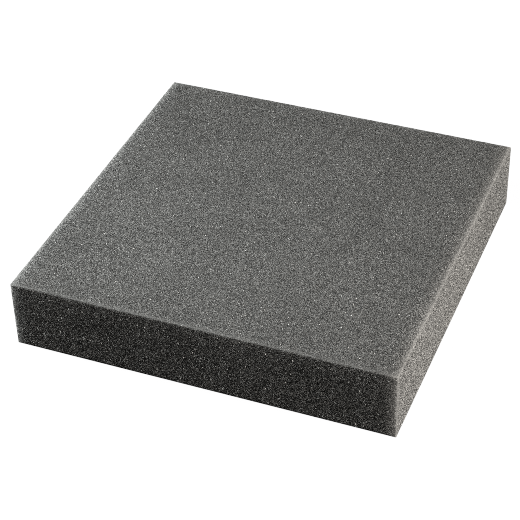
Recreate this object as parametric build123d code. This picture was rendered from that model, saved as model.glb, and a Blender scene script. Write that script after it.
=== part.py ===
from build123d import *
import os

# Foam block: one square slab of open-cell foam, cut on all six sides from a larger bun.
# Millimetres, +Z up. The origin is the centre of the face that it rests on, and the front edge runs along X.

# Plan of the square, 8 inches each way
block_width = 203.2
block_depth = 203.2

# Thickness that the bun was slit to, 1 1/2 inches
block_thickness = 38.1

# The blade leaves crisp edges, and the cut cells along them round off by about one cell.
edge_ease = 0.6


def foam_block():
    """The slab: its plan raised to the slit thickness, with every cut edge eased."""
    with BuildPart() as slab:
        with BuildSketch(Plane.XY):
            Rectangle(block_width, block_depth)
        extrude(amount=block_thickness)
        fillet(slab.edges(), radius=edge_ease)
    return slab.part


os.makedirs("parts", exist_ok=True)
export_step(foam_block(), "parts/foam_block.step")
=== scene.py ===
import math
import random

import bmesh
import bpy
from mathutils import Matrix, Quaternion, Vector


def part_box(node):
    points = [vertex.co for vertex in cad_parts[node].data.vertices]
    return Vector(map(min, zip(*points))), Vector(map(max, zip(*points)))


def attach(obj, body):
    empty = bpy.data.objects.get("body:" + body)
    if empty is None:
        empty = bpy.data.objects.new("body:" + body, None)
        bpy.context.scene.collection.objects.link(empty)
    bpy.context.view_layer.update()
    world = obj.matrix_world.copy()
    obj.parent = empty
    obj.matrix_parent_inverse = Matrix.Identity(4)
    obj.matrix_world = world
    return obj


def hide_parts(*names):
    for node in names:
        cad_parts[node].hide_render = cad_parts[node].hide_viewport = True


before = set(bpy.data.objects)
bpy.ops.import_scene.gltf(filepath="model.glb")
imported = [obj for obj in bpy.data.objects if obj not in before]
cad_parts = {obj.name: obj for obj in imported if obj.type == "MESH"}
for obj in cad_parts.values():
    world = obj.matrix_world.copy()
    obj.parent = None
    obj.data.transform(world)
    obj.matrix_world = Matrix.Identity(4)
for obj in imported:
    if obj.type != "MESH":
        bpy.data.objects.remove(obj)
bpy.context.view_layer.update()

MM = 0.001

# The block's own sizes, from the frame
BLOCK_LOW, BLOCK_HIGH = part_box("foam_block")
BLOCK_SIZE = BLOCK_HIGH - BLOCK_LOW
BLOCK_MIDDLE = (BLOCK_LOW + BLOCK_HIGH) / 2

# Mesh of the cut foam: coarse squares on the underside, and each split in four on the faces that show
COARSE_SQUARE = 2.6 * MM
FINE_SQUARE = COARSE_SQUARE / 2
EDGE_EASE = 0.4 * MM
EDGE_STEPS = 2
SMOOTHED_ANGLE = math.radians(40)
UV_MARGIN = 0.004

# How closely a face or an edge of the mesh has to agree with an axis to count as lying along it
UNDERSIDE_AGREES = 0.99
FLAT_FACE_AGREES = 0.995
RUN_AGREES = 0.9

# Unevenness that the blade leaves along the edges: dents a few cells long, and steps cell by cell
EASED_EDGE_REACH = EDGE_EASE * 0.9
EDGE_DENT_LENGTH = 1.6 * MM
EDGE_DENT_DEPTH = 0.25 * MM
EDGE_DENT_AMOUNT = 0.85
EDGE_DENT_CONTRAST = 3.0
EDGE_NIBBLE = 0.05 * MM
NIBBLE_SEED = 7
UNDERSIDE_KEPT_FLAT = 0.3 * MM

# Large pores that the blade opened, in three sizes: radius, depth and how many on 100 square centimetres
LARGE_PORES = ((0.30 * MM, 0.45 * MM, 60), (0.40 * MM, 0.60 * MM, 40), (0.52 * MM, 0.75 * MM, 20))
PORE_COUNT_AREA = 0.01
PORE_STEPS = 2
PORE_FLOOR_SHARE = 0.45
PORE_CLEAR_OF_EDGE = 2.5 * MM
WHOLE_SQUARE_SHARE = 0.9
PORE_SEED = 11

# Cells and their struts, which are full at the core and end at a share of the cell
CELL_SIZE = 0.42 * MM
CELL_RISE = 1.5
STRUT_SHARE = 0.17
STRUT_CORE_SHARE = STRUT_SHARE * 0.6

# Facets of the struts: most are dim and few bright, partly painted sparkle, and they lean more on the
# sides than on the top
FACET_SIZE = 0.15 * MM
FACET_RARITY = 3.3
FACET_BRIGHT = 0.80
FACET_DIM = 0.02
FACET_LEAN = 1.45
TOP_FACET_LEAN = 1.15
LEAN_RARITY = 2.0
LEVEL_FACET = (0.5, 0.5, 0.5)

# Glints: whole cell windows that catch a lamp, with a painted highlight on them, fewer on the top than
# on the sides
GLINT_SIZE = 0.42 * MM
GLINT_SHARE = 0.005
TOP_GLINT_SHARE = 0.0015
PAINTED_GLINT_TONE = 0.65
GLINT_LEAN = 3.2

# Painted shade: near black between the struts, where the pores are, and the shade down inside the large
# pores
PORE_SHADE_TONE = 0.004
PORE_SHADE_SPREAD = 0.018
PORE_SHADE_START = 0.2 * MM
PORE_SHADE_END = 0.55 * MM
PORE_SHADE = 0.25

# What each draw makes of a cell's own three numbers, so that the draws don't depend on each other
SHINE_DRAW = (17.3, 29.1, 41.7)
PORE_SHADE_DRAW = (13.1, 47.7, 19.9)
LEAN_DRAW = (37.9, 11.3, 23.7)
GLINT_DRAW = (23.9, 43.3, 31.7)
PATCH_DRAW = (19.1, 33.7, 27.3)

# Foam rises a little denser in some places than in others, and its tone drifts with that.
DRIFT_SIZE = 35.0 * MM
DRIFT_DETAIL = 1.0
DRIFT = 0.16

FOAM_TINT = (1.0, 0.99, 0.955)
FOAM_ROUGHNESS = 0.9

# Cells beside an edge are open on two faces and catch light from round it, most of all at the two ends.
END_OPEN_REACH = 2.8 * MM
END_OPEN_SLOPE = 1.1
TOP_OPEN_REACH = 4.0 * MM
TOP_OPEN_SLOPE = 0.62

# Painted light along the upper and lower edges: a pale line, in patches, and narrower down the sides
# than across the top
PAINTED_EDGE_LIGHT = 0.26
PAINTED_EDGE_LIGHT_SHARE = 0.65
PAINTED_EDGE_LIGHT_REACH = 1.1 * MM
PAINTED_EDGE_LIGHT_NARROWING = 2.5
EDGE_PATCH_SIZE = 1.0 * MM
EDGE_PATCH_SHARE = 0.5

# Painted light: a paler, smoother band along the upright edges
UPRIGHT_PAINTED_LIGHT = 0.18
UPRIGHT_PAINTED_LIGHT_SHARE = 0.6
UPRIGHT_PAINTED_LIGHT_REACH = 2.2 * MM

# Photograph's camera, fitted to the block's corners
PHOTO_SIDE = 520
VIEW_AZIMUTH = 22.43
VIEW_ELEVATION = 37.77
VIEW_ROLL = -1.50
VIEW_DISTANCE = 900.5 * MM
VIEW_TARGET = Vector((-8.1, 0.0, 4.2)) * MM
LENS_PIXELS = 1669.4
SENSOR_WIDTH = 36.0

# The grain is as fine as a pixel, so each pixel takes light from little more than its own square.
PIXEL_FILTER_WIDTH = 1.0

# Soft lamps: name, place and size in metres, power in watts, colour
SOFTBOXES = (
    ("overhead_softbox", (-0.10, -0.07, 0.30), 0.06, 0.462, (0.932, 0.985, 1.0)),
    ("right_softbox", (0.80, -0.110, 0.22), 0.14, 11.62, (0.997, 0.957, 0.91)),
    ("left_softbox", (-0.75, -0.091, 0.16), 0.12, 10.37, (0.957, 0.983, 0.98)),
    ("back_softbox", (0.20, 1.30, 0.10), 0.3, 5.0, (1.0, 1.0, 1.0)),
)

# Floor and surroundings
WHITE = (1.0, 1.0, 1.0, 1.0)
FLOOR_SIDE = 6.0
FLOOR_BELOW_BLOCK = 0.1 * MM
FLOOR_TONE = (0.05, 0.05, 0.05, 1.0)
FLOOR_SEEN = 0.97
FILL_LIGHT = 0.004


# Shader nodes

def add_node(tree, kind, **settings):
    """A new node with its settings."""
    node = tree.nodes.new(kind)
    for name, value in settings.items():
        setattr(node, name, value)
    return node


def fill_inputs(tree, node, values):
    """Gives a node's inputs their values, each a socket or a constant, and returns its first output."""
    for socket, value in zip(node.inputs, values):
        if isinstance(value, bpy.types.NodeSocket):
            tree.links.new(value, socket)
        else:
            socket.default_value = value
    return node.outputs[0]


def math_node(tree, operation, *values):
    """One sum on values, each a socket or a number."""
    return fill_inputs(tree, add_node(tree, "ShaderNodeMath", operation=operation), values)


def vector_node(tree, operation, *vectors):
    """One sum on vectors, each a socket or a constant."""
    return fill_inputs(tree, add_node(tree, "ShaderNodeVectorMath", operation=operation), vectors)


def dot_product(tree, vector, other):
    """The dot product of two vectors, each a socket or a constant."""
    node = add_node(tree, "ShaderNodeVectorMath", operation="DOT_PRODUCT")
    fill_inputs(tree, node, (vector, other))
    return node.outputs["Value"]


def split(tree, vector):
    """A vector's X, Y and Z."""
    node = add_node(tree, "ShaderNodeSeparateXYZ")
    tree.links.new(vector, node.inputs["Vector"])
    return node.outputs["X"], node.outputs["Y"], node.outputs["Z"]


def spread(tree, value, low, high, to_low, to_high):
    """A value mapped from one range to another and held inside it."""
    node = add_node(tree, "ShaderNodeMapRange", clamp=True)
    return fill_inputs(tree, node, (value, low, high, to_low, to_high))


def blend(tree, share, value, other):
    """A value that gives way to another by a share."""
    return spread(tree, share, 0.0, 1.0, value, other)


# Foam material

def cells(tree, place, size, feature):
    """Foam cells of a size, as a Voronoi texture."""
    node = add_node(tree, "ShaderNodeTexVoronoi", feature=feature)
    node.inputs["Scale"].default_value = 1 / size
    tree.links.new(place, node.inputs["Vector"])
    return node


def draw(tree, cell, weights):
    """A number from 0 to 1 that each cell draws for itself."""
    return math_node(tree, "FRACT", dot_product(tree, cell.outputs["Color"], weights))


def gaps_to_sides(tree, place):
    """How far a point is from the block's nearest sides across X, Y and Z."""
    centred = vector_node(tree, "SUBTRACT", place, BLOCK_MIDDLE)
    outward = vector_node(tree, "ABSOLUTE", centred)
    return split(tree, vector_node(tree, "SUBTRACT", BLOCK_SIZE / 2, outward))


def fading(tree, gap, reach):
    """1 at an edge, fading with the distance from it."""
    return math_node(tree, "EXPONENT", math_node(tree, "DIVIDE", gap, -reach))


def strut_tone(tree, risen, facet):
    """Tone of the struts' facets, and the painted shade, near black, between the struts."""
    wall = cells(tree, risen, CELL_SIZE, "DISTANCE_TO_EDGE").outputs["Distance"]
    strut = spread(tree, wall, STRUT_CORE_SHARE, STRUT_SHARE, 1.0, 0.0)
    # Tone that differs at random from facet to facet; its rare bright facets are partly painted sparkle.
    bright = math_node(tree, "POWER", draw(tree, facet, SHINE_DRAW), FACET_RARITY)
    bright = math_node(tree, "MULTIPLY_ADD", bright, FACET_BRIGHT, FACET_DIM)
    # Painted shade: the pores between the struts are near black.
    pore_shade_tone = math_node(tree, "MULTIPLY_ADD", draw(tree, facet, PORE_SHADE_DRAW), PORE_SHADE_SPREAD, PORE_SHADE_TONE)
    return math_node(tree, "MAXIMUM", pore_shade_tone, math_node(tree, "MULTIPLY", strut, bright))


def painted_edge_light_share(tree, place, nearer, gap_z):
    """Share of the painted light, a pale line, along the upper and lower edges."""
    down = math_node(tree, "MULTIPLY", gap_z, PAINTED_EDGE_LIGHT_NARROWING)
    line_gap = math_node(tree, "MAXIMUM", nearer, down)
    line = math_node(tree, "MULTIPLY", fading(tree, line_gap, PAINTED_EDGE_LIGHT_REACH), PAINTED_EDGE_LIGHT_SHARE)
    patch = draw(tree, cells(tree, place, EDGE_PATCH_SIZE, "F1"), PATCH_DRAW)
    patchy = spread(tree, patch, 0.0, 1.0, 1 - EDGE_PATCH_SHARE, 1 + EDGE_PATCH_SHARE)
    return math_node(tree, "MULTIPLY", line, patchy)


def density_drift(tree, place):
    """How much paler or darker the foam is from place to place."""
    node = add_node(tree, "ShaderNodeTexNoise")
    node.inputs["Scale"].default_value = 1 / DRIFT_SIZE
    node.inputs["Detail"].default_value = DRIFT_DETAIL
    tree.links.new(place, node.inputs["Vector"])
    return spread(tree, node.outputs["Fac"], 0.0, 1.0, 1 - DRIFT, 1 + DRIFT)


def facet_height(tree, place, facet, steepness):
    """Height of flat facets that lean each its own way."""
    from_centre = vector_node(tree, "SUBTRACT", place, facet.outputs["Position"])
    lean = vector_node(tree, "SUBTRACT", facet.outputs["Color"], LEVEL_FACET)
    return math_node(tree, "MULTIPLY", dot_product(tree, from_centre, lean), steepness)


def opened(tree, height, gap, reach, slope):
    """A height that falls away towards an edge, where the cells open on both faces."""
    return math_node(tree, "MULTIPLY_ADD", fading(tree, gap, reach), -slope * reach, height)


def charcoal_foam():
    """Open-cell foam: a net of struts, whose facets differ in brightness and lean, over pores in painted
    shade.
    """
    material = bpy.data.materials.new("charcoal_foam")
    material.use_nodes = True
    # Facets that lean towards a low lamp catch it in full.
    material.cycles.use_bump_map_correction = False
    tree = material.node_tree
    shader = tree.nodes["Principled BSDF"]
    place = add_node(tree, "ShaderNodeTexCoord").outputs["Object"]
    gap_x, gap_y, gap_z = gaps_to_sides(tree, place)
    nearer = math_node(tree, "MINIMUM", gap_x, gap_y)
    farther = math_node(tree, "MAXIMUM", gap_x, gap_y)
    on_top = math_node(tree, "GREATER_THAN", nearer, gap_z)

    # Cells are drawn out along the rise of the foam, through the block's thickness.
    risen = vector_node(tree, "DIVIDE", place, (1.0, 1.0, CELL_RISE))
    facet = cells(tree, risen, FACET_SIZE, "F1")
    glint = cells(tree, risen, GLINT_SIZE, "F1")
    glint_share = blend(tree, on_top, GLINT_SHARE, TOP_GLINT_SHARE)
    glinting = math_node(tree, "LESS_THAN", draw(tree, glint, GLINT_DRAW), glint_share)
    upright = math_node(tree, "MULTIPLY", fading(tree, farther, UPRIGHT_PAINTED_LIGHT_REACH), UPRIGHT_PAINTED_LIGHT_SHARE)
    painted_edge_light = painted_edge_light_share(tree, place, nearer, gap_z)

    # Tone: paler along the edges as painted light, and painted shade down inside the large pores
    tone = strut_tone(tree, risen, facet)
    # Painted highlight: the glinting cell windows are made pale.
    tone = blend(tree, glinting, tone, PAINTED_GLINT_TONE)
    # Painted light: paler and even along the upright edges.
    tone = blend(tree, upright, tone, UPRIGHT_PAINTED_LIGHT)
    # Painted light: a pale line along the upper and lower edges.
    tone = blend(tree, painted_edge_light, tone, PAINTED_EDGE_LIGHT)
    # Painted shade down inside the large pores.
    sunk = math_node(tree, "MINIMUM", nearer, gap_z)
    shade = spread(tree, sunk, PORE_SHADE_START, PORE_SHADE_END, 1.0, PORE_SHADE)
    tone = math_node(tree, "MULTIPLY", tone, shade)
    tone = math_node(tree, "MULTIPLY", tone, density_drift(tree, place))
    grey = add_node(tree, "ShaderNodeCombineColor")
    fill_inputs(tree, grey, [math_node(tree, "MULTIPLY", tone, share) for share in FOAM_TINT])
    tree.links.new(grey.outputs["Color"], shader.inputs["Base Color"])

    # Relief: leaning facets, level along the edges, and falling away where the cells open on two faces
    lean = blend(tree, on_top, FACET_LEAN, TOP_FACET_LEAN)
    steep = math_node(tree, "POWER", draw(tree, facet, LEAN_DRAW), LEAN_RARITY)
    height = facet_height(tree, risen, facet, math_node(tree, "MULTIPLY", steep, lean))
    height = blend(tree, glinting, height, facet_height(tree, risen, glint, GLINT_LEAN))
    height = blend(tree, painted_edge_light, height, 0.0)
    height = blend(tree, upright, height, 0.0)
    height = opened(tree, height, gap_x, END_OPEN_REACH, END_OPEN_SLOPE)
    below_top = math_node(tree, "SUBTRACT", BLOCK_HIGH.z, split(tree, place)[2])
    below_ease = math_node(tree, "MAXIMUM", below_top, EDGE_EASE)
    height = opened(tree, height, below_ease, TOP_OPEN_REACH, TOP_OPEN_SLOPE)
    bump = add_node(tree, "ShaderNodeBump")
    bump.inputs["Strength"].default_value = 1.0
    bump.inputs["Distance"].default_value = 1.0
    tree.links.new(height, bump.inputs["Height"])
    tree.links.new(bump.outputs["Normal"], shader.inputs["Normal"])

    shader.inputs["Roughness"].default_value = FOAM_ROUGHNESS
    shader.inputs["Specular IOR Level"].default_value = 0.0
    return material


# The block

def choose(block, elements, wanted):
    """Selects the edit mesh's edges, faces or vertices that a test wants, and nothing else."""
    kind = {"verts": "VERT", "edges": "EDGE", "faces": "FACE"}[elements]
    bpy.ops.mesh.select_mode(type=kind)
    bpy.ops.mesh.select_all(action="DESELECT")
    mesh = bmesh.from_edit_mesh(block.data)
    mesh.normal_update()
    for element in getattr(mesh, elements):
        if wanted(element):
            element.select_set(True)
    mesh.select_flush_mode()
    bmesh.update_edit_mesh(block.data)


def edge_gap(point):
    """How far a point of the surface is from the block's nearest cut edge."""
    gaps = sorted(min(point[i] - BLOCK_LOW[i], BLOCK_HIGH[i] - point[i]) for i in range(3))
    return gaps[1]


def runs_along(edge, axis):
    """Whether an edge of the mesh runs along an axis, and isn't one of the small ones at a corner."""
    run = edge.verts[1].co - edge.verts[0].co
    return run.length > EDGE_EASE and abs(run[axis]) > RUN_AGREES * run.length


def is_underside(face):
    """Whether a face is on the side that the block rests on."""
    return face.normal.z < -UNDERSIDE_AGREES


def is_eased(face):
    """Whether a face is on the eased strip along a cut edge."""
    return max(abs(part) for part in face.normal) < FLAT_FACE_AGREES


def along_eased_strip(edge):
    """Whether an edge of the mesh runs lengthwise on or beside an eased strip."""
    lengthwise = any(runs_along(edge, axis) for axis in range(3))
    return lengthwise and any(is_eased(face) for face in edge.link_faces)


def cut_block():
    """The slab at the CAD block's size and place, with eased edges, in squares."""
    bpy.ops.object.select_all(action="DESELECT")
    bpy.ops.mesh.primitive_cube_add(size=1.0, location=BLOCK_MIDDLE)
    block = bpy.context.object
    block.name = "cut_foam"
    block.data.name = "cut_foam"
    block.scale = BLOCK_SIZE
    bpy.ops.object.transform_apply(location=True, rotation=True, scale=True)

    bpy.ops.object.mode_set(mode="EDIT")
    choose(block, "edges", lambda edge: True)
    bpy.ops.mesh.bevel(offset=EDGE_EASE, segments=EDGE_STEPS, affect="EDGES")
    for axis in range(3):
        choose(block, "edges", lambda edge: runs_along(edge, axis))
        bpy.ops.mesh.subdivide(number_cuts=round(BLOCK_SIZE[axis] / COARSE_SQUARE) - 1)
    bpy.ops.mesh.select_all(action="SELECT")
    bpy.ops.uv.smart_project(island_margin=UV_MARGIN)
    block.data.uv_layers.active.name = "OFBake"

    choose(block, "faces", lambda face: not is_underside(face))
    bpy.ops.mesh.subdivide(number_cuts=1, ngon=False)
    choose(block, "edges", along_eased_strip)
    bpy.ops.mesh.subdivide(number_cuts=1, ngon=False)
    bpy.ops.object.mode_set(mode="OBJECT")
    return block


def on_cut_edge(point):
    """Whether a point is on an eased edge, clear of the underside."""
    return edge_gap(point) < EASED_EDGE_REACH and point.z > UNDERSIDE_KEPT_FLAT


def nibble_edges(block):
    """Dents and small seeded steps along the cut edges."""
    edges = block.vertex_groups.new(name="cut_edges")
    edges.add([vert.index for vert in block.data.vertices if on_cut_edge(vert.co)], 1.0, "ADD")
    dents = bpy.data.textures.new("edge_dents", "CLOUDS")
    dents.noise_scale = EDGE_DENT_LENGTH
    dents.intensity = EDGE_DENT_AMOUNT
    dents.contrast = EDGE_DENT_CONTRAST
    dents.use_clamp = True
    sink = block.modifiers.new("dents", "DISPLACE")
    sink.texture = dents
    sink.texture_coords = "LOCAL"
    sink.strength = -EDGE_DENT_DEPTH
    sink.mid_level = 0.0
    sink.vertex_group = edges.name
    bpy.ops.object.modifier_apply(modifier=sink.name)
    block.vertex_groups.clear()

    bpy.ops.object.mode_set(mode="EDIT")
    choose(block, "verts", lambda vert: on_cut_edge(vert.co))
    bpy.ops.transform.vertex_random(offset=EDGE_NIBBLE, uniform=0.0, normal=0.0, seed=NIBBLE_SEED)
    bpy.ops.object.mode_set(mode="OBJECT")


def has_room_for_pore(vert):
    """Whether a vertex has four whole squares round it, clear of the edges and the underside."""
    if len(vert.link_edges) != 4:
        return False
    if edge_gap(vert.co) <= PORE_CLEAR_OF_EDGE or vert.co.z <= UNDERSIDE_KEPT_FLAT:
        return False
    return min(edge.calc_length() for edge in vert.link_edges) > WHOLE_SQUARE_SHARE * FINE_SQUARE


def open_large_pores(block):
    """Round pits, each cut at a vertex of the grid that the seed picks."""
    picker = random.Random(PORE_SEED)
    bpy.ops.object.mode_set(mode="EDIT")
    for radius, depth, count in LARGE_PORES:
        chance = count * FINE_SQUARE ** 2 / PORE_COUNT_AREA
        choose(block, "verts", lambda vert: has_room_for_pore(vert) and picker.random() < chance)
        bpy.ops.mesh.bevel(offset=radius, segments=PORE_STEPS, affect="VERTICES")
        bpy.ops.mesh.inset(thickness=radius * (1 - PORE_FLOOR_SHARE), depth=-depth)
    bpy.ops.object.mode_set(mode="OBJECT")


def make_block():
    """The finished block, in place of the CAD node."""
    block = cut_block()
    nibble_edges(block)
    open_large_pores(block)
    bpy.ops.object.shade_smooth_by_angle(angle=SMOOTHED_ANGLE)
    block.data.materials.append(charcoal_foam())
    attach(block, "root")
    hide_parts("foam_block")


# Studio

def photo_camera():
    """The camera that the photograph was taken from."""
    azimuth = math.radians(VIEW_AZIMUTH)
    elevation = math.radians(VIEW_ELEVATION)
    level = math.cos(elevation)
    back = Vector((math.sin(azimuth) * level, -math.cos(azimuth) * level, math.sin(elevation)))
    roll = Quaternion((0.0, 0.0, 1.0), math.radians(VIEW_ROLL))
    bpy.ops.object.camera_add(location=VIEW_TARGET + back * VIEW_DISTANCE)
    camera = bpy.context.object
    camera.name = "photo_camera"
    camera.rotation_mode = "QUATERNION"
    camera.rotation_quaternion = (-back).to_track_quat("-Z", "Y") @ roll
    camera.data.sensor_width = SENSOR_WIDTH
    camera.data.lens = LENS_PIXELS / PHOTO_SIDE * SENSOR_WIDTH
    bpy.context.scene.camera = camera


def softbox(name, place, size, power, colour):
    """A square soft lamp that faces the block."""
    bpy.ops.object.light_add(type="AREA", location=place)
    lamp = bpy.context.object
    lamp.name = name
    lamp.rotation_mode = "QUATERNION"
    lamp.rotation_quaternion = (BLOCK_MIDDLE - Vector(place)).to_track_quat("-Z", "Y")
    lamp.data.size = size
    lamp.data.energy = power
    lamp.data.color = colour
    lamp.visible_camera = False


def seen_rays(tree):
    """1 for rays that show a background: the camera's, and those of gloss and glass."""
    ray = add_node(tree, "ShaderNodeLightPath")
    seen = math_node(tree, "MAXIMUM", ray.outputs["Is Camera Ray"], ray.outputs["Is Glossy Ray"])
    return math_node(tree, "MAXIMUM", seen, ray.outputs["Is Transmission Ray"])


def pale_floor():
    """A plain floor that shows white and keeps the block's shadow."""
    height = BLOCK_LOW.z - FLOOR_BELOW_BLOCK
    bpy.ops.mesh.primitive_plane_add(size=FLOOR_SIDE, location=(0.0, 0.0, height))
    floor = bpy.context.object
    floor.name = "floor"
    material = bpy.data.materials.new("pale_floor")
    material.use_nodes = True
    tree = material.node_tree
    shader = tree.nodes["Principled BSDF"]
    shader.inputs["Base Color"].default_value = FLOOR_TONE
    shader.inputs["Roughness"].default_value = 1.0
    shader.inputs["Specular IOR Level"].default_value = 0.0
    shader.inputs["Emission Color"].default_value = WHITE
    lift = math_node(tree, "MULTIPLY", seen_rays(tree), FLOOR_SEEN)
    tree.links.new(lift, shader.inputs["Emission Strength"])
    floor.data.materials.append(material)


def white_surroundings():
    """White where it is seen, and a low fill on the block."""
    world = bpy.data.worlds.new("studio")
    bpy.context.scene.world = world
    world.use_nodes = True
    tree = world.node_tree
    background = tree.nodes["Background"]
    background.inputs["Color"].default_value = WHITE
    strength = blend(tree, seen_rays(tree), FILL_LIGHT, 1.0)
    tree.links.new(strength, background.inputs["Strength"])


make_block()
photo_camera()
for lamp_values in SOFTBOXES:
    softbox(*lamp_values)
pale_floor()
white_surroundings()
bpy.context.scene.view_settings.view_transform = "Standard"
# A denoiser would take the grain for noise.
bpy.context.scene.cycles.use_denoising = False
bpy.context.scene.cycles.filter_width = PIXEL_FILTER_WIDTH
